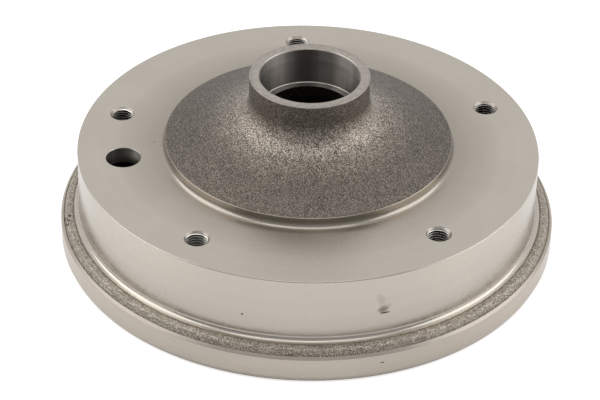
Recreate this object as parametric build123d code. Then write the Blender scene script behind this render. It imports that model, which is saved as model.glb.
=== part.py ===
from build123d import *
import math
import os

# A cast iron brake drum with its wheel hub in one casting, machined where it works.
# Lengths are in millimetres. The drum stands on its open rim with the nose up, the
# axis is Z, and heights are above the lowest face of the rim.

# Braking surface, the wall behind it and the web above it
brake_d = 230.0            # inside diameter that the shoes press on
wall_thickness = 6.0       # between the braking surface and the machined outside
brake_width = 40.0         # turned this far up from the open rim
lead_in = 1.5              # chamfer where the shoes enter
cast_corner = 5.3          # sloping corner inside, where the wall meets the web
web_thickness = 9.0        # plate whose upper side is the wheel face
face_chamfer = 0.6         # on the outer corner of the wheel face

# Rim, the thick turned ring round the open end
rim_overhang = 9.9         # rim stands out this far from the wall
rim_band_height = 13.7     # top of its turned band
rim_bevel = 1.3            # turned bevel above the band
rim_foot_in = 1.6          # turned chamfer below the band, inwards
rim_foot_up = 2.9          # and upwards
shoulder_width = 5.9       # rough cast shoulder between the bevel and the ledge
shoulder_rise = 3.8
knee_in = 2.2              # the shoulder bends here, inwards from the bevel
knee_up = 2.8              # and upwards from it
ledge_corner = 1.4         # slope left by the tool between the turned ledge and the wall

# Cast dome between the wheel face and the nose
dome_d = 150.6             # turned step at the foot of the dome
dome_step = 5.2            # height of that step above the face
dome_foot = 2.0            # slope left by the tool at the foot of the step
dome_rise = 15.4           # the cone climbs this far before it would meet the nose
nose_blend = 14.5          # hollow rounding between the cone and the nose
under_d = 146.0            # inside, the web's flat underside ends here
under_rise = 16.3          # and the inner cone climbs this far
under_corner = 6.0         # sloping corner between the inner cone and the hub

# Nose with the seat of the outer bearing
nose_rise = 42.3           # top of the nose above the wheel face
outer_bearing_d = 52.0
outer_bearing_depth = 20.5
nose_wall = 5.3            # metal round the outer bearing
nose_edge = 0.3            # chamfer on the nose's outer edge
mouth_chamfer = 0.5        # at the mouth of the outer bearing's seat
collar_d = 44.4            # collar that the outer bearing rests on
collar_length = 6.0

# Hub inside the drum, with the seats of the inner bearing and the oil seal
hub_recess = 14.0          # hub's inner end above the rim's lowest face
inner_bearing_d = 62.0
inner_bearing_depth = 16.5
seal_d = 66.0
seal_depth = 7.5
hub_wall = 7.2             # metal round the seal at the hub's inner end
seal_chamfer = 0.8         # at the mouth of the seal's seat
cavity_d = 56.0            # grease space between the bearings
cavity_slope = 5.0         # cone between the collar and the grease space

# Five tapped holes for the wheel bolts, M12 x 1.5
bolt_count = 5
bolt_circle_d = 205.0
bolt_first_angle = 22.0
tap_d = 10.5               # bore at the crests of the thread
bolt_countersink_d = 13.0
boss_d = 27.0
boss_gap = 1.0             # bosses stop this far above the braking surface
boss_draft = 10.0          # degrees, the bosses widen this steeply towards the web

# Access hole for adjusting the shoes
access_d = 18.0
access_circle_d = 194.8
access_angle = 189.9
access_chamfer = 0.4

# Worked out from the sizes above
brake_r = brake_d / 2
wall_r = brake_r + wall_thickness
rim_r = wall_r + rim_overhang
bevel_r = rim_r - rim_bevel
bevel_height = rim_band_height + rim_bevel
ledge_r = bevel_r - shoulder_width
ledge_height = bevel_height + shoulder_rise
web_underside = brake_width + cast_corner
face_height = web_underside + web_thickness
dome_r = dome_d / 2
nose_r = outer_bearing_d / 2 + nose_wall
nose_height = face_height + nose_rise
hub_r = seal_d / 2 + hub_wall
boss_underside = brake_width + boss_gap


def turned(*corners):
    """Turn a closed half section about Z; a corner is (radius, height) or has a rounding too."""
    points = [corner[:2] for corner in corners]
    roundings = [corner[2] if len(corner) > 2 else 0 for corner in corners]
    with BuildPart() as body:
        with BuildSketch(Plane.XZ):
            with BuildLine():
                FilletPolyline(*points, radius=roundings, close=True)
            make_face()
        revolve(axis=Axis.Z)
    return body.part


def outside():
    """The whole outer form: rim, shoulder, wall, wheel face, dome and nose."""
    step_height = face_height + dome_step
    return turned(
        (0, 0),
        (rim_r - rim_foot_in, 0),
        (rim_r, rim_foot_up),
        (rim_r, rim_band_height),
        (bevel_r, bevel_height),
        (bevel_r - knee_in, bevel_height + knee_up),
        (ledge_r, ledge_height),
        (wall_r + ledge_corner, ledge_height),
        (wall_r, ledge_height + ledge_corner),
        (wall_r, face_height - face_chamfer),
        (wall_r - face_chamfer, face_height),
        (dome_r + dome_foot, face_height),
        (dome_r, face_height + dome_foot),
        (dome_r, step_height),
        (nose_r, step_height + dome_rise, nose_blend),
        (nose_r, nose_height - nose_edge),
        (nose_r - nose_edge, nose_height),
        (0, nose_height),
    )


def shoe_space():
    """The ring-shaped space for the shoes, open below, with the hub left standing."""
    below = -rim_foot_up
    under_top = web_underside + under_rise
    return turned(
        (0, below),
        (brake_r + lead_in - below, below),
        (brake_r, lead_in),
        (brake_r, brake_width),
        (brake_r - cast_corner, web_underside),
        (under_d / 2, web_underside),
        (hub_r + under_corner, under_top),
        (hub_r, under_top - under_corner),
        (hub_r, hub_recess),
        (0, hub_recess),
    )


def hub_bore():
    """The bore through the hub, from the seal seat below to the nose above."""
    seal_r = seal_d / 2
    inner_r = inner_bearing_d / 2
    outer_r = outer_bearing_d / 2
    seal_shoulder = hub_recess + seal_depth
    inner_shoulder = seal_shoulder + inner_bearing_depth
    outer_shoulder = nose_height - outer_bearing_depth
    collar_foot = outer_shoulder - collar_length
    return turned(
        (0, hub_recess - seal_chamfer),
        (seal_r + 2 * seal_chamfer, hub_recess - seal_chamfer),
        (seal_r, hub_recess + seal_chamfer),
        (seal_r, seal_shoulder),
        (inner_r, seal_shoulder),
        (inner_r, inner_shoulder),
        (cavity_d / 2, inner_shoulder),
        (cavity_d / 2, collar_foot - cavity_slope),
        (collar_d / 2, collar_foot),
        (collar_d / 2, outer_shoulder),
        (outer_r, outer_shoulder),
        (outer_r, nose_height - mouth_chamfer),
        (outer_r + 2 * mouth_chamfer, nose_height + mouth_chamfer),
        (0, nose_height + mouth_chamfer),
    )


def bolt_boss():
    """A round cast boss under the web, wider towards the web that it grows out of."""
    boss_r = boss_d / 2
    boss_top = web_underside + web_thickness / 2
    widening = (boss_top - boss_underside) * math.tan(math.radians(boss_draft))
    return turned(
        (0, boss_underside),
        (boss_r, boss_underside),
        (boss_r + widening, boss_top),
        (0, boss_top),
    )


def tapped_hole():
    """The bore for a wheel bolt's thread, countersunk where the bolt goes in."""
    tap_r = tap_d / 2
    wide_r = bolt_countersink_d / 2
    sink = wide_r - tap_r
    return turned(
        (0, brake_width),
        (tap_r, brake_width),
        (tap_r, face_height - sink),
        (wide_r + sink, face_height + sink),
        (0, face_height + sink),
    )


def access_hole():
    """The plain hole through the web, with its sharp edge taken off above."""
    access_r = access_d / 2
    return turned(
        (0, brake_width),
        (access_r, brake_width),
        (access_r, face_height - access_chamfer),
        (access_r + 2 * access_chamfer, face_height + access_chamfer),
        (0, face_height + access_chamfer),
    )


def brake_drum():
    """The finished casting; the bosses are left standing where the shoe space is cut."""
    with BuildPart() as space:
        add(shoe_space())
        with PolarLocations(bolt_circle_d / 2, bolt_count, start_angle=bolt_first_angle):
            add(bolt_boss(), mode=Mode.SUBTRACT)
    with BuildPart() as drum:
        add(outside())
        add(space.part, mode=Mode.SUBTRACT)
        add(hub_bore(), mode=Mode.SUBTRACT)
        with PolarLocations(bolt_circle_d / 2, bolt_count, start_angle=bolt_first_angle):
            add(tapped_hole(), mode=Mode.SUBTRACT)
        with PolarLocations(access_circle_d / 2, 1, start_angle=access_angle):
            add(access_hole(), mode=Mode.SUBTRACT)
    return drum.part


os.makedirs("parts", exist_ok=True)
export_step(brake_drum(), "parts/brake_drum.step")
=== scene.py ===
import math
import bpy
from mathutils import Euler, Matrix, Vector


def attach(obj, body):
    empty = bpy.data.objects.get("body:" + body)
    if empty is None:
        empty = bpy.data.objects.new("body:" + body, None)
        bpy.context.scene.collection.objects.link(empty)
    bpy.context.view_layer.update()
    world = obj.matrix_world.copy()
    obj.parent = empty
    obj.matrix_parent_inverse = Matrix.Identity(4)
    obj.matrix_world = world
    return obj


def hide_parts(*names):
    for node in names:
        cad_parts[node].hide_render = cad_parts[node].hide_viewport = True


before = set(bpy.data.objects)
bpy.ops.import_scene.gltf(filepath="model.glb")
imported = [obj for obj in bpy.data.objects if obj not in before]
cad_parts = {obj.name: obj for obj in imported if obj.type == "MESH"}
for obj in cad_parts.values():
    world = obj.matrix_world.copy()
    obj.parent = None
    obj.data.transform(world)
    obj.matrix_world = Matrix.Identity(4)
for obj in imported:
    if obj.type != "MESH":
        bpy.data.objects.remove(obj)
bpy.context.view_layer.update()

# Lengths below are in millimetres, as on the drum's drawing, and MM turns them into metres.
# A place on the drum is a radius from its axis, a height above the rim's lowest face and,
# where it isn't the same all round, an angle in degrees from +X towards +Y.
MM = 0.001

# Braking surface, the wall behind it and the web above it
BRAKE_R = 115.0
BRAKE_WIDTH = 40.0
LEAD_IN = 1.5              # chamfer where the shoes enter
CAST_WALL_R = 114.5        # cast skin above the braking surface
WALL_R = 121.0             # turned outside of the wall
WEB_UNDERSIDE = 45.3
FACE_HEIGHT = 54.3         # the wheel face, the web's upper side

# Rim, cast shoulder and turned ledge
RIM_R = 130.9
BEVEL_R = 129.6            # the rim's bevels above and below its band end here
RIM_FOOT_HEIGHT = 2.9
BAND_HEIGHT = 13.7
SHOULDER_FOOT = 15.0
FOOT_GROOVE = 0.4          # tool groove between the bevel and the shoulder
KNEE_R = 127.6             # the shoulder bends over here
KNEE_HEIGHT = 17.75
SHOULDER_TOP_R = 124.7
SHOULDER_TOP_HEIGHT = 18.4
LEDGE_GROOVE = 0.55        # tool groove between the shoulder and the ledge
LEDGE_R = 123.8
LEDGE_HEIGHT = 18.5

# Dome and nose outside
DOME_R = 75.3
STEP_HEIGHT = 59.5         # top of the turned step at the dome's foot
DOME_RISE = 15.4           # the cone climbs this far before it would meet the nose
NOSE_BLEND = 14.5          # hollow rounding between them
NOSE_R = 31.3
NOSE_HEIGHT = 96.6

# Bore, from the outer bearing's seat down to the oil seal's
OUTER_SEAT_R = 26.0
MOUTH_CHAMFER = 0.5
OUTER_SHOULDER = 76.1
SEAT_CORNER = 0.4
COLLAR_R = 22.2
COLLAR_EDGE = 0.15
COLLAR_FOOT = 70.1
CAVITY_R = 28.0
CAVITY_TOP = 65.1
CAVITY_EDGE = 0.3
INNER_SHOULDER = 38.0
INNER_SEAT_R = 31.0
SEAL_SHOULDER = 21.5
SEAL_R = 33.0
SEAL_CHAMFER = 0.8
HUB_END = 14.0
HUB_R = 40.2
UNDER_R = 73.0             # the web's flat underside ends here
UNDER_SLOPE = 0.608        # and the skin climbs this steeply towards the hub

# Tapped holes for the wheel bolts, and their bosses
BOLT_COUNT = 5
BOLT_CIRCLE_R = 102.5
BOLT_FIRST_ANGLE = 22.0
TAP_R = 5.25
THREAD_ROOT_R = 6.0
THREAD_PITCH = 1.5
THREAD_TURNS = 12
COUNTERSINK_R = 6.5
COUNTERSINK_DEPTH = 1.2
BOSS_R = 13.5
BOSS_UNDERSIDE = 41.0

# Access hole for adjusting the shoes
ACCESS_R = 9.0
ACCESS_CIRCLE_R = 97.4
ACCESS_ANGLE = 189.9

# Dents in the drum's skin: where each lies, and half its size outwards, round and upwards
PITS = (
    (WALL_R, -104.8, 31.1, 0.35, 0.45, 0.55),
    (WALL_R, -71.0, 31.9, 0.35, 2.5, 0.4),
    (RIM_R, -72.8, 9.0, 0.25, 1.1, 0.3),
    (81.0, -178.8, FACE_HEIGHT, 0.4, 0.4, 0.3),
    (77.5, -176.2, FACE_HEIGHT, 0.3, 0.3, 0.2),
    (126.5, -171.3, 18.0, 0.7, 0.8, 0.9),
    (128.8, -171.9, 15.4, 0.7, 0.7, 1.1),
    (127.8, -170.3, 17.2, 0.6, 0.9, 0.6),
    (127.1, -169.4, 17.8, 0.6, 0.9, 0.6),
    (128.5, -169.0, 16.0, 0.5, 1.2, 0.5),
    (127.8, -168.3, 17.2, 0.6, 0.6, 0.9),
)

LUMPS = ((9.0, 0.35), (2.6, 0.2))    # how wide and how high the cast skin's unevenness is
CAST_SPACING = 1.7                   # longest edge along the section where the skin is rough
STEPS_ROUND = 300                    # edges round the revolved casting
ARC_STEP = 11                        # degrees from point to point of a rounding
SMALL_ARC_STEP = 25                  # and of one of up to 1 mm
SMOOTH_BELOW = 32                    # degrees; sharper edges stay sharp
SLACK = 0.1                          # limits of the finishes stand this far clear of edges


def empty_selection():
    """Nothing selected, so that the next operator acts on its own piece alone."""
    bpy.ops.object.select_all(action="DESELECT")


def work_on(piece):
    """Select one piece alone and make it the active one."""
    empty_selection()
    piece.select_set(True)
    bpy.context.view_layer.objects.active = piece


def join(pieces):
    """Join some pieces in the first of them."""
    work_on(pieces[0])
    for piece in pieces:
        piece.select_set(True)
    if len(pieces) > 1:
        bpy.ops.object.join()
    return pieces[0]


def apply_modifier(piece, kind, **settings):
    """Add a modifier, give it its settings and apply it."""
    work_on(piece)
    modifier = piece.modifiers.new(kind.lower(), kind)
    for name, value in settings.items():
        setattr(modifier, name, value)
    bpy.ops.object.modifier_apply(modifier=modifier.name)


def on_drum(radius, angle, height):
    """The place at that radius, angle and height, in metres."""
    turn = math.radians(angle)
    return Vector((radius * math.cos(turn), radius * math.sin(turn), height)) * MM


# The half section, drawn as corners of (radius, height, rounding)

def arc(corner, before, after, rounding):
    """Points round a corner, on the circle that touches both of its sides."""
    to_before = (before - corner).normalized()
    to_after = (after - corner).normalized()
    half_angle = to_before.angle(to_after) / 2
    centre = corner + (to_before + to_after).normalized() * rounding / math.sin(half_angle)
    reach = rounding / math.tan(half_angle)
    start = corner + to_before * reach - centre
    sweep = start.angle_signed(corner + to_after * reach - centre)
    step = ARC_STEP if rounding > 1 else SMALL_ARC_STEP
    steps = max(2, round(abs(math.degrees(sweep)) / step))
    return [centre + Matrix.Rotation(-sweep * i / steps, 2) @ start for i in range(steps + 1)]


def section(corners):
    """The closed half section as a list of points, its corners rounded."""
    points = []
    places = [Vector(corner[:2]) for corner in corners]
    for i, corner in enumerate(corners):
        before, after = places[i - 1], places[(i + 1) % len(places)]
        if corner[2] > 0:
            points += arc(places[i], before, after, corner[2])
        else:
            points.append(places[i])
    return points


def is_rough(point):
    """True on the stretches that keep their cast skin, a little clear of the turned edges."""
    r, z = point
    dome = NOSE_R - 0.4 < r < DOME_R - 0.6 and STEP_HEIGHT - 0.2 < z < NOSE_HEIGHT - 0.3
    shoulder = LEDGE_R + 0.1 < r < BEVEL_R and SHOULDER_FOOT - 0.2 < z < LEDGE_HEIGHT + 0.2
    ceiling = WEB_UNDERSIDE + 2.0 + max(0.0, UNDER_R - r) * UNDER_SLOPE
    inside = HUB_R - 0.1 < r < BRAKE_R - 0.2 and HUB_END + 1.0 < z < ceiling
    return dome or shoulder or inside


def with_cast_spacing(points):
    """The same section with its long rough stretches divided."""
    divided = []
    for here, following in zip(points, points[1:] + points[:1]):
        divided.append(here)
        middle = (here + following) / 2
        pieces = math.ceil((following - here).length / CAST_SPACING)
        if pieces > 1 and is_rough(middle):
            divided += [here.lerp(following, i / pieces) for i in range(1, pieces)]
    return divided


def drum_section():
    """The whole half section, from the rim's foot up the outside and down the inside."""
    return with_cast_spacing(section([
        (BEVEL_R, 0.0, 0.2),
        (RIM_R, RIM_FOOT_HEIGHT, 0.4),
        (RIM_R, BAND_HEIGHT, 0.3),
        (BEVEL_R, SHOULDER_FOOT, 0.1),
        (BEVEL_R - FOOT_GROOVE, SHOULDER_FOOT - FOOT_GROOVE, 0.0),
        (KNEE_R, KNEE_HEIGHT, 2.6),
        (SHOULDER_TOP_R, SHOULDER_TOP_HEIGHT, 0.5),
        (LEDGE_R + 0.1, LEDGE_HEIGHT - LEDGE_GROOVE, 0.0),
        (LEDGE_R, LEDGE_HEIGHT, 0.1),
        (WALL_R, LEDGE_HEIGHT, 2.7),
        (WALL_R, FACE_HEIGHT, 0.65),
        (DOME_R, FACE_HEIGHT, 3.0),
        (DOME_R, STEP_HEIGHT, 0.5),
        (NOSE_R, STEP_HEIGHT + DOME_RISE, NOSE_BLEND),
        (NOSE_R, NOSE_HEIGHT, 0.25),
        (OUTER_SEAT_R + MOUTH_CHAMFER, NOSE_HEIGHT, 0.1),
        (OUTER_SEAT_R, NOSE_HEIGHT - MOUTH_CHAMFER, 0.1),
        (OUTER_SEAT_R, OUTER_SHOULDER, SEAT_CORNER),
        (COLLAR_R, OUTER_SHOULDER, COLLAR_EDGE),
        (COLLAR_R, COLLAR_FOOT, 0.5),
        (CAVITY_R, CAVITY_TOP, 2.0),
        (CAVITY_R, INNER_SHOULDER, CAVITY_EDGE),
        (INNER_SEAT_R, INNER_SHOULDER, 0.8),
        (INNER_SEAT_R, SEAL_SHOULDER, 0.3),
        (SEAL_R, SEAL_SHOULDER, 0.5),
        (SEAL_R, HUB_END + SEAL_CHAMFER, 0.1),
        (SEAL_R + SEAL_CHAMFER, HUB_END, 0.1),
        (HUB_R, HUB_END, 1.2),
        (HUB_R, WEB_UNDERSIDE + (UNDER_R - HUB_R) * UNDER_SLOPE, 9.0),
        (UNDER_R, WEB_UNDERSIDE, 8.0),
        (CAST_WALL_R, WEB_UNDERSIDE, 4.5),
        (CAST_WALL_R, BRAKE_WIDTH + 0.2, 0.2),
        (BRAKE_R, BRAKE_WIDTH, 0.0),
        (BRAKE_R, LEAD_IN, 0.1),
        (BRAKE_R + LEAD_IN, 0.0, 0.1),
    ]))


def wire(name, points):
    """An object whose mesh is one line through these points of (radius, height)."""
    empty_selection()
    bpy.ops.mesh.primitive_plane_add(size=MM, location=(0, 0, 0))
    piece = bpy.context.object
    piece.name = name
    places = [Vector((r, 0, z)) * MM for r, z in points]
    bpy.ops.object.mode_set(mode="EDIT")
    bpy.ops.mesh.select_mode(type="VERT")
    bpy.ops.mesh.merge(type="CENTER")
    bpy.ops.transform.translate(value=places[0])
    for here, following in zip(places, places[1:]):
        bpy.ops.mesh.extrude_vertices_move(TRANSFORM_OT_translate={"value": following - here})
    bpy.ops.object.mode_set(mode="OBJECT")
    return piece


def close_line(piece):
    """Join the two loose ends of the line in a piece."""
    work_on(piece)
    ends = (0, len(piece.data.vertices) - 1)
    for vertex in piece.data.vertices:
        vertex.select = vertex.index in ends
    bpy.ops.object.mode_set(mode="EDIT")
    bpy.ops.mesh.select_mode(type="VERT")
    bpy.ops.mesh.edge_face_add()
    bpy.ops.object.mode_set(mode="OBJECT")


def revolve(piece, steps, weld=0.001, **settings):
    """Turn a piece's line round the drum's axis, and merge points closer than weld."""
    apply_modifier(
        piece, "SCREW", steps=steps, render_steps=steps, use_merge_vertices=True,
        merge_threshold=weld * MM, use_smooth_shade=False, **settings)
    bpy.ops.object.mode_set(mode="EDIT")
    bpy.ops.mesh.select_all(action="SELECT")
    bpy.ops.mesh.remove_doubles(threshold=weld * MM)
    bpy.ops.mesh.normals_make_consistent(inside=False)
    bpy.ops.object.mode_set(mode="OBJECT")


def turned_piece(name, points, steps):
    """A solid revolved from a closed half section that stays clear of the axis."""
    piece = wire(name, points)
    close_line(piece)
    revolve(piece, steps)
    return piece


def plug(name, points, steps=48):
    """A solid revolved from a half section that starts and ends on the axis."""
    piece = wire(name, points)
    revolve(piece, steps)
    return piece


def polar_copies(piece, radius, angles):
    """Copies of a piece moved out to a radius and turned to each angle, joined in one."""
    copies = []
    for angle in angles:
        copy = piece.copy()
        copy.data = piece.data.copy()
        bpy.context.collection.objects.link(copy)
        copy.data.transform(Matrix.Rotation(math.radians(angle), 4, "Z")
                            @ Matrix.Translation((radius * MM, 0, 0)))
        copies.append(copy)
    bpy.data.objects.remove(piece)
    return join(copies)


def combine(piece, tool, operation):
    """Join a tool's solid to a piece or cut it away, and delete the tool."""
    apply_modifier(piece, "BOOLEAN", object=tool, operation=operation, solver="MANIFOLD")
    bpy.data.objects.remove(tool)


def at_bolts(piece):
    """A copy of a piece at each wheel bolt's axis."""
    angles = [BOLT_FIRST_ANGLE + 360 / BOLT_COUNT * i for i in range(BOLT_COUNT)]
    return polar_copies(piece, BOLT_CIRCLE_R, angles)


def bosses():
    """The five cast bosses under the web, their feet flowing into it."""
    foot_r = BOSS_R + 5.0
    foot = WEB_UNDERSIDE + 1.1
    top = WEB_UNDERSIDE + 4.5
    return at_bolts(plug("bosses", section([
        (0.0, BOSS_UNDERSIDE, 0.0),
        (BOSS_R, BOSS_UNDERSIDE, 0.8),
        (BOSS_R + 0.4, WEB_UNDERSIDE, 2.5),
        (foot_r, foot, 0.0),
        (foot_r, top, 0.0),
        (0.0, top, 0.0),
    ])))


def thread_cutter():
    """The helical bodies of the wheel bolts' threads, a little longer than their holes."""
    start = BOSS_UNDERSIDE - 2 * THREAD_PITCH
    piece = wire("thread cutter", [
        (TAP_R, start),
        (TAP_R, start + 0.36 * THREAD_PITCH),
        (THREAD_ROOT_R, start + 0.62 * THREAD_PITCH),
        (THREAD_ROOT_R, start + 0.7 * THREAD_PITCH),
        (TAP_R, start + THREAD_PITCH),
    ])
    revolve(
        piece, steps=28, weld=0.005, iterations=THREAD_TURNS, screw_offset=THREAD_PITCH * MM)
    bpy.ops.object.mode_set(mode="EDIT")
    bpy.ops.mesh.select_all(action="DESELECT")
    bpy.ops.mesh.select_mode(type="EDGE")
    bpy.ops.mesh.select_non_manifold()
    bpy.ops.mesh.fill_holes(sides=0)
    bpy.ops.mesh.select_all(action="SELECT")
    bpy.ops.mesh.quads_convert_to_tris()
    bpy.ops.mesh.normals_make_consistent(inside=False)
    bpy.ops.object.mode_set(mode="OBJECT")
    return at_bolts(piece)


def countersinks():
    """Shallow cones that open the bolt holes above."""
    foot = FACE_HEIGHT - COUNTERSINK_DEPTH
    top = FACE_HEIGHT + 0.6
    return at_bolts(plug("countersinks", section([
        (0.0, foot - 0.3, 0.0),
        (TAP_R - 0.6, foot - 0.3, 0.0),
        (TAP_R, foot, 0.0),
        (COUNTERSINK_R, FACE_HEIGHT, 0.0),
        (COUNTERSINK_R + 1.1, top, 0.0),
        (0.0, top, 0.0),
    ]), steps=64))


def access_cutter():
    """The plain hole, its edge broken above."""
    foot = WEB_UNDERSIDE - 6.0
    top = FACE_HEIGHT + 1.0
    piece = plug("access hole", section([
        (0.0, foot, 0.0),
        (ACCESS_R, foot, 0.0),
        (ACCESS_R, FACE_HEIGHT - 0.2, 0.1),
        (ACCESS_R + 1.2, top, 0.0),
        (0.0, top, 0.0),
    ]), steps=96)
    return polar_copies(piece, ACCESS_CIRCLE_R, [ACCESS_ANGLE])


def pits():
    """Small hollows where the iron has been struck or didn't fill the mould."""
    dents = []
    for radius, angle, height, out, along, up in PITS:
        empty_selection()
        bpy.ops.mesh.primitive_ico_sphere_add(subdivisions=3, radius=MM, location=(0, 0, 0))
        dent = bpy.context.object
        dent.data.transform(
            Matrix.Translation(on_drum(radius, angle, height))
            @ Matrix.Rotation(math.radians(angle), 4, "Z")
            @ Matrix.Diagonal((out, along, up, 1)))
        dents.append(dent)
    return join(dents)


def in_a_pit(place):
    """True for a place, in millimetres, on the skin of one of the pits."""
    for radius, angle, height, out, along, up in PITS:
        offset = place - on_drum(radius, angle, height) / MM
        if offset.length < 3.0:
            offset.rotate(Euler((0, 0, -math.radians(angle))))
            if (offset.x / out) ** 2 + (offset.y / along) ** 2 + (offset.z / up) ** 2 < 1.1:
                return True
    return False


def roughen(piece):
    """Uneven the cast skin a little, as sand leaves it."""
    group = piece.vertex_groups.new(name="cast skin")
    rough = []
    for vertex in piece.data.vertices:
        x, y, z = vertex.co / MM
        if is_rough((math.hypot(x, y), z)):
            rough.append(vertex.index)
    group.add(rough, 1.0, "REPLACE")
    for width, height in LUMPS:
        lumps = bpy.data.textures.new("lumps", "CLOUDS")
        lumps.noise_scale = width * MM
        lumps.noise_depth = 1
        apply_modifier(
            piece, "DISPLACE", texture=lumps, texture_coords="LOCAL", mid_level=0.5,
            strength=height * MM, vertex_group=group.name)
    piece.vertex_groups.clear()


# Nodes of the finishes

MIX_FIRST, MIX_SECOND, MIX_RESULT = 6, 7, 2    # a Mix node's sockets for colours, by number


def feed(tree, target, inputs):
    """Give a node's inputs, each by its title or number, a socket or a plain value."""
    for title, value in dict(inputs).items():
        if isinstance(value, bpy.types.NodeSocket):
            tree.links.new(value, target.inputs[title])
        else:
            target.inputs[title].default_value = value


def node(tree, kind, inputs=(), **properties):
    """Add a node to a tree with its properties, and feed its inputs."""
    made = tree.nodes.new(kind)
    for name, value in properties.items():
        setattr(made, name, value)
    feed(tree, made, inputs)
    return made


def math_node(tree, operation, *values):
    """The result of a sum or the like on sockets and plain numbers."""
    return node(tree, "ShaderNodeMath", enumerate(values), operation=operation).outputs[0]


def product(tree, a, b):
    """Two values multiplied."""
    return math_node(tree, "MULTIPLY", a, b)


def weighted_sum(tree, *parts, start=0.0):
    """A start with some values added, each of which comes with its weight."""
    total = start
    for value, weight in parts:
        total = math_node(tree, "MULTIPLY_ADD", value, weight, total)
    return total


def vector_math(tree, operation, *vectors):
    """The result of a vector operation, which is a number for a length or a dot product."""
    made = node(tree, "ShaderNodeVectorMath", enumerate(vectors), operation=operation)
    return made.outputs["Value" if operation in ("LENGTH", "DOT_PRODUCT") else "Vector"]


def split(tree, vector):
    """A vector's X, Y and Z."""
    return node(tree, "ShaderNodeSeparateXYZ", {0: vector}).outputs


def object_place(tree):
    """Where a point is on its object, in metres."""
    return node(tree, "ShaderNodeTexCoord").outputs["Object"]


def noise(tree, source, scale, detail, roughness=0.5, dimensions="3D"):
    """Noise on a vector, or with 1D dimensions on a number; it is about 0.5 on average."""
    title = "W" if dimensions == "1D" else "Vector"
    inputs = {title: source, "Scale": scale, "Detail": detail, "Roughness": roughness}
    return node(tree, "ShaderNodeTexNoise", inputs, noise_dimensions=dimensions).outputs["Fac"]


def ramp(tree, value, low, high):
    """A smooth step from 0 at low to 1 at high."""
    inputs = {"Value": value, "From Min": low, "From Max": high}
    return node(tree, "ShaderNodeMapRange", inputs, interpolation_type="SMOOTHSTEP").outputs["Result"]


def mixed_colour(tree, share, first, second):
    """A colour from the first, at a share of 0, to the second, at 1."""
    inputs = {"Factor": share, MIX_FIRST: first, MIX_SECOND: second}
    return node(tree, "ShaderNodeMix", inputs, data_type="RGBA").outputs[MIX_RESULT]


def arrange(tree):
    """Lay a tree's nodes out in columns, each to the right of those that feed it."""
    column = {made.name: 0 for made in tree.nodes}
    for _ in tree.nodes:
        for link in tree.links:
            after = column[link.from_node.name] + 1
            column[link.to_node.name] = max(column[link.to_node.name], after)
    filled = {}
    for made in tree.nodes:
        place = column[made.name]
        filled[place] = filled.get(place, 0) + 1
        made.location = (220 * place, -300 * filled[place])


def new_group(name, **inputs):
    """A node group with inputs, a tuple for a vector; returns it with its inputs' sockets."""
    group = bpy.data.node_groups.new(name, "ShaderNodeTree")
    for title, value in inputs.items():
        kind = "NodeSocketVector" if isinstance(value, tuple) else "NodeSocketFloat"
        socket = group.interface.new_socket(title, in_out="INPUT", socket_type=kind)
        socket.default_value = value
    return group, group.nodes.new("NodeGroupInput").outputs


def put_out(group, **results):
    """Give a node group its outputs, all numbers, and return it finished."""
    for title in results:
        group.interface.new_socket(title, in_out="OUTPUT", socket_type="NodeSocketFloat")
    node(group, "NodeGroupOutput", results)
    arrange(group)
    return group


def placed(tree, group, **inputs):
    """A node group put in a tree; returns its outputs."""
    titled = {name.title(): value for name, value in inputs.items()}
    return node(tree, "ShaderNodeGroup", titled, node_tree=group).outputs


# Effects that several finishes share

def drum_place_group():
    """Where a point is on the drum: radius and height in millimetres, bearing in radians."""
    group = new_group("place on the drum")[0]
    place = object_place(group)
    flat = vector_math(group, "MULTIPLY", place, (1 / MM, 1 / MM, 0.0))
    parts = split(group, place)
    return put_out(
        group,
        Radius=vector_math(group, "LENGTH", flat),
        Height=math_node(group, "DIVIDE", parts["Z"], MM),
        Bearing=math_node(group, "ARCTAN2", parts["Y"], parts["X"]))


DRUM_PLACE = drum_place_group()


def turning_marks_group():
    """Fine grooves left by a lathe tool: rings on flat faces, threads of light on walls."""
    group, given = new_group("turning marks", Pitch=0.4)
    place = placed(group, DRUM_PLACE)
    along = math_node(group, "ADD", place["Radius"], place["Height"])
    grooves = math_node(group, "DIVIDE", along, given["Pitch"])
    fine = noise(group, grooves, 1.0, 2.0, 0.6, "1D")
    broad = noise(group, along, 0.11, 2.0, 0.5, "1D")
    return put_out(group, Height=fine, Tint=weighted_sum(group, (fine, 0.5), (broad, 0.5)))


def in_units(group, size):
    """Where a point is on the drum, as a vector in units of a size in millimetres."""
    scale = math_node(group, "DIVIDE", 1 / MM, size)
    return vector_math(group, "MULTIPLY", object_place(group), scale)


def cast_grain_group():
    """The grain that moulding sand leaves: fine lumps, some of them pale specks painted as glints."""
    group, given = new_group("cast grain", Size=0.55)
    place = in_units(group, given["Size"])
    grains = node(group, "ShaderNodeTexVoronoi", {"Vector": place, "Scale": 1.0}, feature="F1").outputs
    chance = node(group, "ShaderNodeSeparateColor", {0: grains["Color"]}).outputs["Red"]
    # Painted glints: a few of the grains are made pale.
    painted_glint_fleck = math_node(group, "POWER", chance, 3.0)
    lump = math_node(group, "SUBTRACT", 1.0, grains["Distance"])
    grit = noise(group, place, 0.9, 3.0, 0.65)
    patches = noise(group, place, 0.08, 2.0)
    return put_out(
        group,
        Height=weighted_sum(group, (lump, 0.5), (grit, 0.7)),
        Tint=weighted_sum(group, (painted_glint_fleck, 0.6), (grit, 0.3), (patches, 0.15)))


def stains_group():
    """Soft cloudy marks from hands and oil."""
    group, given = new_group("handling stains", Size=30.0)
    clouds = noise(group, in_units(group, given["Size"]), 1.0, 4.0, 0.55)
    return put_out(group, Amount=ramp(group, clouds, 0.35, 0.7))


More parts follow.
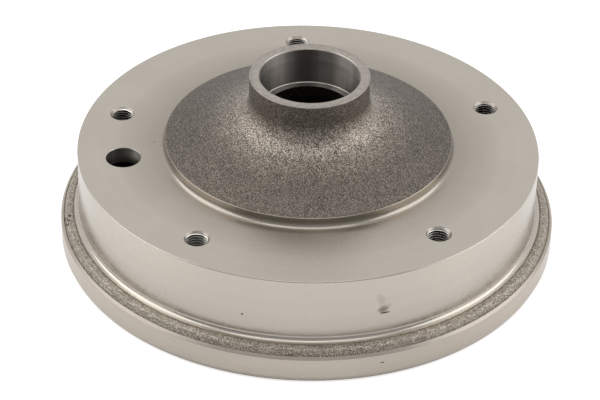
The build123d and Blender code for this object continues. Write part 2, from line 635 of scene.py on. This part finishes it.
def scuff_group():
    """One ragged oval mark with soft edges, long in the direction Along."""
    nowhere = (0.0, 0.0, 0.0)
    group, given = new_group("scuff", Length=2.0, Width=1.0, Place=nowhere, Along=nowhere)
    place = object_place(group)
    offset = vector_math(group, "SUBTRACT", place, given["Place"])
    run = vector_math(group, "DOT_PRODUCT", offset, given["Along"])
    run_squared = product(group, run, run)
    far_squared = vector_math(group, "DOT_PRODUCT", offset, offset)
    across_squared = math_node(group, "SUBTRACT", far_squared, run_squared)
    reach = noise(group, place, 1.2 / MM, 2.0, 0.6)
    reach = product(group, reach, 1.8)
    for squared, title in ((run_squared, "Length"), (across_squared, "Width")):
        half = product(group, given[title], MM / 2)
        share = math_node(group, "DIVIDE", squared, product(group, half, half))
        reach = math_node(group, "ADD", reach, share)
    return put_out(group, Mask=ramp(group, reach, 2.0, 0.6))


TURNING_MARKS = turning_marks_group()
CAST_GRAIN = cast_grain_group()
STAINS = stains_group()
SCUFF = scuff_group()


# Marks: strength, radius, angle, height, direction as outwards, round and upwards, length, width
WALL_MARKS = (
    (0.8, WALL_R, -71.6, 34.0, (0, 1, 0.3), 6.5, 6.0),
    (0.25, WALL_R, -70.2, 35.6, (0, 1, 0.6), 4.5, 3.5),
    (0.22, WALL_R, -72.0, 40.0, (0, -0.4, 1), 10.5, 5.5),
)
NOSE_MARKS = (
    (0.9, 33.0, -103.5, 85.5, (0, 1, 0.35), 4.0, 0.7),
    (0.35, 38.5, -83.0, 74.0, (1, 0.1, -0.7), 7.0, 3.0),
)


def scuffs(tree, marks):
    """The sum of some marks, each as strong as it says."""
    masks = []
    for strength, radius, angle, height, direction, length, width in marks:
        along = Matrix.Rotation(math.radians(angle), 3, "Z") @ Vector(direction).normalized()
        place = on_drum(radius, angle, height)
        mark = placed(tree, SCUFF, length=length, width=width, place=place, along=along)
        masks.append((mark["Mask"], strength))
    return weighted_sum(tree, *masks)


def bore_painted_light(tree):
    """Painted light round the bore: a painted reflection, dark where its back mirrors its front;
    streaked with painted highlights; and painted shade, darker deep down.
    """
    back, dark_until, light_from = (math.radians(angle) for angle in (95.0, 4.0, 23.0))
    place = placed(tree, DRUM_PLACE)
    from_back = math_node(tree, "ABSOLUTE", math_node(tree, "SUBTRACT", place["Bearing"], back))
    clear_of_back = ramp(tree, from_back, dark_until, light_from)
    # Painted highlight: streaked by bearing.
    painted_highlight_streaks = noise(tree, place["Bearing"], 5.0, 2.0, 0.5, "1D")
    high = ramp(tree, place["Height"], 78.0, 92.0)
    level = weighted_sum(tree, (painted_highlight_streaks, 0.9), (high, 0.45), start=0.35)
    return product(tree, level, weighted_sum(tree, (clear_of_back, 0.85), start=0.15))


def hole_painted_light(tree):
    """Painted light in the access hole: paler on the side towards the nose, and painted shade deep
    down.
    """
    place = placed(tree, DRUM_PLACE)
    inwards = ramp(tree, place["Radius"], 101.0, 91.0)
    high = ramp(tree, place["Height"], 46.0, 51.0)
    return product(tree, high, weighted_sum(tree, (inwards, 1.4), start=0.3))


def thread_painted_shade(tree):
    """Painted shade down a tapped hole: darker and darker."""
    high = ramp(tree, placed(tree, DRUM_PLACE)["Height"], 43.0, 54.0)
    return weighted_sum(tree, (high, 1.3), start=0.45)


# Finishes; a colour is red, green and blue from 0 to 1

PAINTED_DOME_SHADE_COLOUR = (0.2, 0.165, 0.125, 1.0)       # painted shade on the wheel face, darker towards the dome
SCUFFED = (0.1, 0.09, 0.075, 1.0)    # dark marks on turned iron
ROUGHNESS_SPREAD = 0.04              # stains change a turned surface's roughness this much
GRAIN_RELIEF = 0.15                  # the cast grain stands this many millimetres high


def new_metal(name):
    """A metal material; returns it with its tree and its shader."""
    material = bpy.data.materials.new(name)
    material.use_nodes = True
    shader = material.node_tree.nodes["Principled BSDF"]
    return material, material.node_tree, shader


def finish_metal(tree, shader, colour, roughness, relief, depth):
    """Feed a metal's shader; the relief stands depth millimetres high where it is 1."""
    raised = {"Strength": 1.0, "Distance": depth * MM, "Height": relief}
    normal = node(tree, "ShaderNodeBump", raised).outputs["Normal"]
    feed(tree, shader, {
        "Base Color": colour, "Metallic": 1.0, "Roughness": roughness, "Normal": normal})


def turned_iron(name, low, high, roughness, pitch, depth, grain=0.6, painted_dome_shade=0.0, marks=(),
                stain_size=34.0, stain_share=0.25, shade=None):
    """Iron as the lathe leaves it: satin, from the colour low to high, with fine grooves.

    Its grooves have a pitch and a depth, and the grain is how far they stretch its
    highlights. It may have painted shade towards the dome, dark marks, larger or
    stronger stains, and painted light and shade that changes it from place to place.
    """
    material, tree, shader = new_metal(name)
    grooves = placed(tree, TURNING_MARKS, pitch=pitch)
    stains = placed(tree, STAINS, size=stain_size)["Amount"]
    tint = weighted_sum(tree, (grooves["Tint"], 1.0 - stain_share), (stains, stain_share))
    if shade:
        tint = product(tree, tint, shade(tree))
    colour = mixed_colour(tree, tint, (*low, 1.0), (*high, 1.0))
    # Painted shade: the wheel face darkens towards the dome.
    if painted_dome_shade:
        near_dome = ramp(tree, placed(tree, DRUM_PLACE)["Radius"], 108.0, 76.0)
        colour = mixed_colour(tree, product(tree, near_dome, painted_dome_shade), colour, PAINTED_DOME_SHADE_COLOUR)
    if marks:
        colour = mixed_colour(tree, scuffs(tree, marks), colour, SCUFFED)
    rough = weighted_sum(
        tree, (stains, 2 * ROUGHNESS_SPREAD), start=roughness - ROUGHNESS_SPREAD)
    finish_metal(tree, shader, colour, rough, grooves["Height"], depth)
    tangent = node(tree, "ShaderNodeTangent", direction_type="RADIAL", axis="Z").outputs[0]
    feed(tree, shader, {"Anisotropic": grain, "Anisotropic Rotation": 0.25, "Tangent": tangent})
    arrange(tree)
    return material


def cast_iron(name, grain_size, low, high, roughness, limits=(0.17, 0.8), painted_blend_highlight=False,
              marks=()):
    """Iron with the dark grained skin of the mould, if asked with a painted highlight where dome and
    nose blend.

    The colour goes from low to high as the grain's tint goes through the limits, and
    marks make it paler.
    """
    material, tree, shader = new_metal(name)
    grain = placed(tree, CAST_GRAIN, size=grain_size)
    tint = ramp(tree, grain["Tint"], *limits)
    # Painted highlight: paler in the band where dome and nose blend.
    if painted_blend_highlight:
        height = placed(tree, DRUM_PLACE)["Height"]
        pale = product(tree, ramp(tree, height, 65.0, 76.0), ramp(tree, height, 87.0, 75.5))
        tint = product(tree, tint, weighted_sum(tree, (pale, 0.95), start=0.42))
    if marks:
        tint = math_node(tree, "ADD", tint, scuffs(tree, marks))
    colour = mixed_colour(tree, tint, (*low, 1.0), (*high, 1.0))
    finish_metal(tree, shader, colour, roughness, grain["Height"], GRAIN_RELIEF)
    arrange(tree)
    return material


def finishes():
    """All the finishes of the casting, in the order of its material slots."""
    return {
        "turned": turned_iron(
            "turned iron", (0.5, 0.46, 0.405), (0.61, 0.565, 0.5), roughness=0.27,
            pitch=0.35, depth=0.012, grain=0.5, painted_dome_shade=0.4, marks=WALL_MARKS),
        "turned rim": turned_iron(
            "turned rim", (0.49, 0.435, 0.38), (0.6, 0.54, 0.475), roughness=0.28,
            pitch=0.45, depth=0.014, grain=0.5),
        "cast": cast_iron(
            "cast iron skin", 0.27, (0.083, 0.072, 0.06), (0.88, 0.78, 0.67), roughness=0.4,
            limits=(0.195, 0.805), painted_blend_highlight=True, marks=NOSE_MARKS),
        "cast shoulder": cast_iron(
            "cast iron shoulder", 0.28, (0.18, 0.157, 0.13), (0.86, 0.78, 0.67), roughness=0.5,
            limits=(0.17, 0.77)),
        "turned bevel": turned_iron(
            "turned bevel", (0.45, 0.4, 0.35), (0.54, 0.485, 0.425), roughness=0.42,
            pitch=0.45, depth=0.014),
        "faced": turned_iron(
            "faced nose", (0.27, 0.245, 0.22), (0.58, 0.53, 0.48), roughness=0.36,
            pitch=0.5, depth=0.02, stain_size=2.2, stain_share=0.35),
        # Bored iron streaked with painted highlights, with painted reflection and painted shade.
        "bored": turned_iron(
            "bored iron", (0.095, 0.082, 0.072), (0.57, 0.525, 0.485), roughness=0.5,
            pitch=0.25, depth=0.008, grain=1.0, shade=bore_painted_light),
        # Painted highlight: a bright copy of the cut iron for thread flanks that face up and for the
        # seat's corner ring.
        "painted highlight cut": turned_iron(
            "tapped iron painted lit", (0.2, 0.18, 0.16), (1.0, 0.95, 0.87), roughness=0.3,
            pitch=0.3, depth=0.004, shade=thread_painted_shade),
        # Painted shade: a near-black copy for the thread crests and the flanks that face down.
        "painted shade cut": turned_iron(
            "thread crests painted shade", (0.03, 0.026, 0.022), (0.08, 0.07, 0.06), roughness=0.4,
            pitch=0.3, depth=0.004),
        # Drilled iron with painted light and painted shade in the access hole.
        "drilled": turned_iron(
            "drilled iron", (0.09, 0.08, 0.07), (0.5, 0.47, 0.43), roughness=0.5,
            pitch=0.6, depth=0.02, grain=0.9, shade=hole_painted_light),
        # Cast skin inside the hub, made near-black as painted shade.
        "inner skin": cast_iron(
            "inner skin painted dark as shade", 0.5, (0.03, 0.026, 0.022), (0.12, 0.105, 0.09), roughness=0.6),
        "pits": cast_iron(
            "pitted iron", 0.5, (0.05, 0.045, 0.04), (0.16, 0.145, 0.12), roughness=0.6),
    }


FINISHES = finishes()


def from_nearest_bolt(x, y):
    """How far a place is from the axis of the nearest bolt hole."""
    step = 360 / BOLT_COUNT
    off = (math.degrees(math.atan2(y, x)) - BOLT_FIRST_ANGLE + step / 2) % step - step / 2
    turn = math.radians(off)
    r = math.hypot(x, y)
    return math.hypot(r * math.cos(turn) - BOLT_CIRCLE_R, r * math.sin(turn))


def finish_at(place, normal):
    """The name of the finish at a place, in millimetres, where the skin faces along normal."""
    x, y, z = place
    r = math.hypot(x, y)
    from_bolt = from_nearest_bolt(x, y)
    from_access = (place - on_drum(ACCESS_CIRCLE_R, ACCESS_ANGLE, z) / MM).length
    below_face = z < FACE_HEIGHT - SLACK
    if from_bolt < COUNTERSINK_R + SLACK and z > BOSS_UNDERSIDE and below_face:
        # Faces that look up get the painted highlight, the others the painted shade.
        faces_up = normal.z > 0.8
        in_countersink = z > FACE_HEIGHT - COUNTERSINK_DEPTH + SLACK
        return "painted highlight cut" if faces_up else "faced" if in_countersink else "painted shade cut"
    if from_access < ACCESS_R + SLACK and z > WEB_UNDERSIDE and below_face:
        return "drilled"
    # Inside the hub the cast skin is painted near-black as shade.
    cavity_foot = INNER_SHOULDER + CAVITY_EDGE
    if r < CAVITY_R + SLACK and cavity_foot < z < OUTER_SHOULDER - COLLAR_EDGE:
        return "inner skin"
    in_outer_seat = r < OUTER_SEAT_R + SLACK
    above_shoulder = z - OUTER_SHOULDER
    # Painted highlight on the corner ring at the foot of the outer seat.
    if in_outer_seat and r > OUTER_SEAT_R - SEAT_CORNER and 0 < above_shoulder < SEAT_CORNER:
        return "painted highlight cut"
    if r < NOSE_R + SLACK and z > NOSE_HEIGHT - MOUTH_CHAMFER - SLACK:
        return "faced"
    if in_outer_seat or r < SEAL_R + SEAL_CHAMFER + SLACK and z < cavity_foot:
        return "bored"
    if is_rough((r, z)):
        return "cast" if z > WEB_UNDERSIDE or r < BRAKE_R else "cast shoulder"
    if z < SHOULDER_FOOT + SLACK and r > BRAKE_R + SLACK:
        return "turned rim" if z < BAND_HEIGHT + SLACK else "turned bevel"
    return "turned"


def paint(piece):
    """Give each face the finish of the tool, or the mould, that left it; some finishes are copies
    painted lighter or darker as light and shade.
    """
    names = list(FINISHES)
    vertices = piece.data.vertices
    piece.data.materials.clear()
    for material in FINISHES.values():
        piece.data.materials.append(material)
    for face in piece.data.polygons:
        centre = face.center / MM
        finish = finish_at(centre, face.normal)
        if in_a_pit(centre) and all(in_a_pit(vertices[i].co / MM) for i in face.vertices):
            finish = "pits"
        face.material_index = names.index(finish)


def casting():
    """The whole drum as one piece."""
    piece = turned_piece("brake_drum_casting", drum_section(), STEPS_ROUND)
    roughen(piece)
    combine(piece, bosses(), "UNION")
    for cutter in (thread_cutter, countersinks, access_cutter, pits):
        combine(piece, cutter(), "DIFFERENCE")
    paint(piece)
    work_on(piece)
    bpy.ops.object.shade_smooth_by_angle(angle=math.radians(SMOOTH_BELOW))
    apply_modifier(piece, "WEIGHTED_NORMAL", keep_sharp=True, weight=60)
    return piece


drum = casting()
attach(drum, "root")
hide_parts("brake_drum")


# Floor, surroundings, lamps and camera; their own sizes are in metres

FLOOR_SIZE = 6.0
FLOOR_DROP = 0.0002        # the floor lies this far below the rim's foot


def pale_floor():
    """Matt and pale; round the drum, not under it, it glows to the eye and in the metal; in the metal
    the glow is weaker close to the drum and in front, a painted shadow.
    """
    material = bpy.data.materials.new("pale floor")
    material.use_nodes = True
    tree = material.node_tree
    tree.nodes.clear()
    place = object_place(tree)
    from_axis = vector_math(tree, "LENGTH", place)
    outside = math_node(tree, "GREATER_THAN", from_axis, (RIM_R - 2.5) * MM)
    # Painted shadow: the glow seen in the metal fades close to the drum and in front of it.
    far = ramp(tree, from_axis, RIM_R * MM, (RIM_R + 60.0) * MM)
    bearing = split(tree, vector_math(tree, "NORMALIZE", place))
    clear_of_front = ramp(tree, bearing["Y"], -1.0, -0.5)
    mirrored = product(
        tree, weighted_sum(tree, (far, 0.2), start=0.75),
        weighted_sum(tree, (clear_of_front, 0.36), start=0.64))
    path = node(tree, "ShaderNodeLightPath").outputs
    to_metal = product(tree, path["Is Glossy Ray"], mirrored)
    strength = weighted_sum(tree, (path["Is Camera Ray"], 0.6), (to_metal, 0.5))
    glow = node(tree, "ShaderNodeEmission", {"Strength": product(tree, strength, outside)})
    matt = node(tree, "ShaderNodeBsdfDiffuse", {"Color": (0.75, 0.75, 0.75, 1.0)})
    both = node(tree, "ShaderNodeAddShader", {0: matt.outputs[0], 1: glow.outputs[0]})
    node(tree, "ShaderNodeOutputMaterial", {"Surface": both.outputs[0]})
    arrange(tree)
    return material


def floor():
    """A wide pale floor that keeps a soft shadow and is white to the eye."""
    empty_selection()
    bpy.ops.mesh.primitive_plane_add(size=FLOOR_SIZE, location=(0, 0, -FLOOR_DROP))
    piece = bpy.context.object
    piece.name = "floor"
    piece.data.materials.append(pale_floor())


def surroundings():
    """A pale studio, brightest behind the drum and dimmer in front and at the horizon."""
    base, more_behind, less_in_front, less_at_horizon, least = 0.48, 0.368, 0.115, 0.28, 0.12
    world = bpy.data.worlds.new("studio")
    bpy.context.scene.world = world
    world.use_nodes = True
    tree = world.node_tree
    tree.nodes.clear()
    direction = split(tree, node(tree, "ShaderNodeTexCoord").outputs["Generated"])
    behind = ramp(tree, direction["Y"], -0.1, 0.6)
    in_front = ramp(tree, direction["Y"], -0.1, -0.6)
    not_overhead = ramp(tree, direction["Z"], 0.95, 0.7)
    at_horizon = ramp(tree, math_node(tree, "ABSOLUTE", direction["Z"]), 0.35, 0.05)
    level = weighted_sum(
        tree, (behind, more_behind), (product(tree, in_front, not_overhead), -less_in_front),
        (at_horizon, -less_at_horizon), start=base)
    level = math_node(tree, "MAXIMUM", level, least)
    to_eye = node(tree, "ShaderNodeLightPath").outputs["Is Camera Ray"]
    strength = node(tree, "ShaderNodeMix", {0: to_eye, 2: level, 3: 1.0}, data_type="FLOAT")
    white = {"Color": (1.0, 1.0, 1.0, 1.0), "Strength": strength.outputs[0]}
    background = node(tree, "ShaderNodeBackground", white)
    node(tree, "ShaderNodeOutputWorld", {"Surface": background.outputs[0]})
    arrange(tree)


def softbox(name, azimuth, elevation, width, height, watts, distance=1.5):
    """A large soft lamp that looks at the drum; azimuth is its angle from +X."""
    centre = Vector((0, 0, 0.04))
    turn, rise = math.radians(azimuth), math.radians(elevation)
    out = Vector((math.cos(turn) * math.cos(rise), math.sin(turn) * math.cos(rise), math.sin(rise)))
    bpy.ops.object.light_add(type="AREA", location=centre + out * distance)
    lamp = bpy.context.object
    lamp.name = name
    lamp.rotation_mode = "QUATERNION"
    lamp.rotation_quaternion = out.to_track_quat("Z", "Y")
    lamp.data.shape = "RECTANGLE"
    lamp.data.size = width
    lamp.data.size_y = height
    lamp.data.energy = watts


def camera():
    """The photograph's viewpoint, fitted to the drum's circles."""
    elevation, roll = 0.612453, 0.0217631
    distance, lens = 1.2727, 142.96
    aim = Vector((-3.684, 0.0, 17.951)) * MM
    back = Vector((0, -math.cos(elevation), math.sin(elevation)))
    side = Vector((1, 0, 0))
    above = Vector((0, math.sin(elevation), math.cos(elevation)))
    right = math.cos(roll) * side + math.sin(roll) * above
    up = math.cos(roll) * above - math.sin(roll) * side
    turned = Matrix((right, up, back)).transposed().to_4x4()
    bpy.ops.object.camera_add()
    eye = bpy.context.object
    eye.name = "camera"
    eye.matrix_world = Matrix.Translation(aim + back * distance) @ turned
    eye.data.lens = lens
    eye.data.sensor_width = 36.0
    eye.data.clip_start = 0.05
    eye.data.clip_end = 50.0
    bpy.context.scene.camera = eye


floor()
surroundings()
softbox("left softbox", azimuth=180.0, elevation=40.0, width=1.35, height=1.2, watts=7.0)
softbox("right softbox", azimuth=-2.0, elevation=34.0, width=1.35, height=1.2, watts=7.0)
softbox("top softbox", azimuth=-90.0, elevation=78.0, width=1.1, height=0.6, watts=2.8)
camera()
bpy.context.scene.view_settings.view_transform = "Standard"
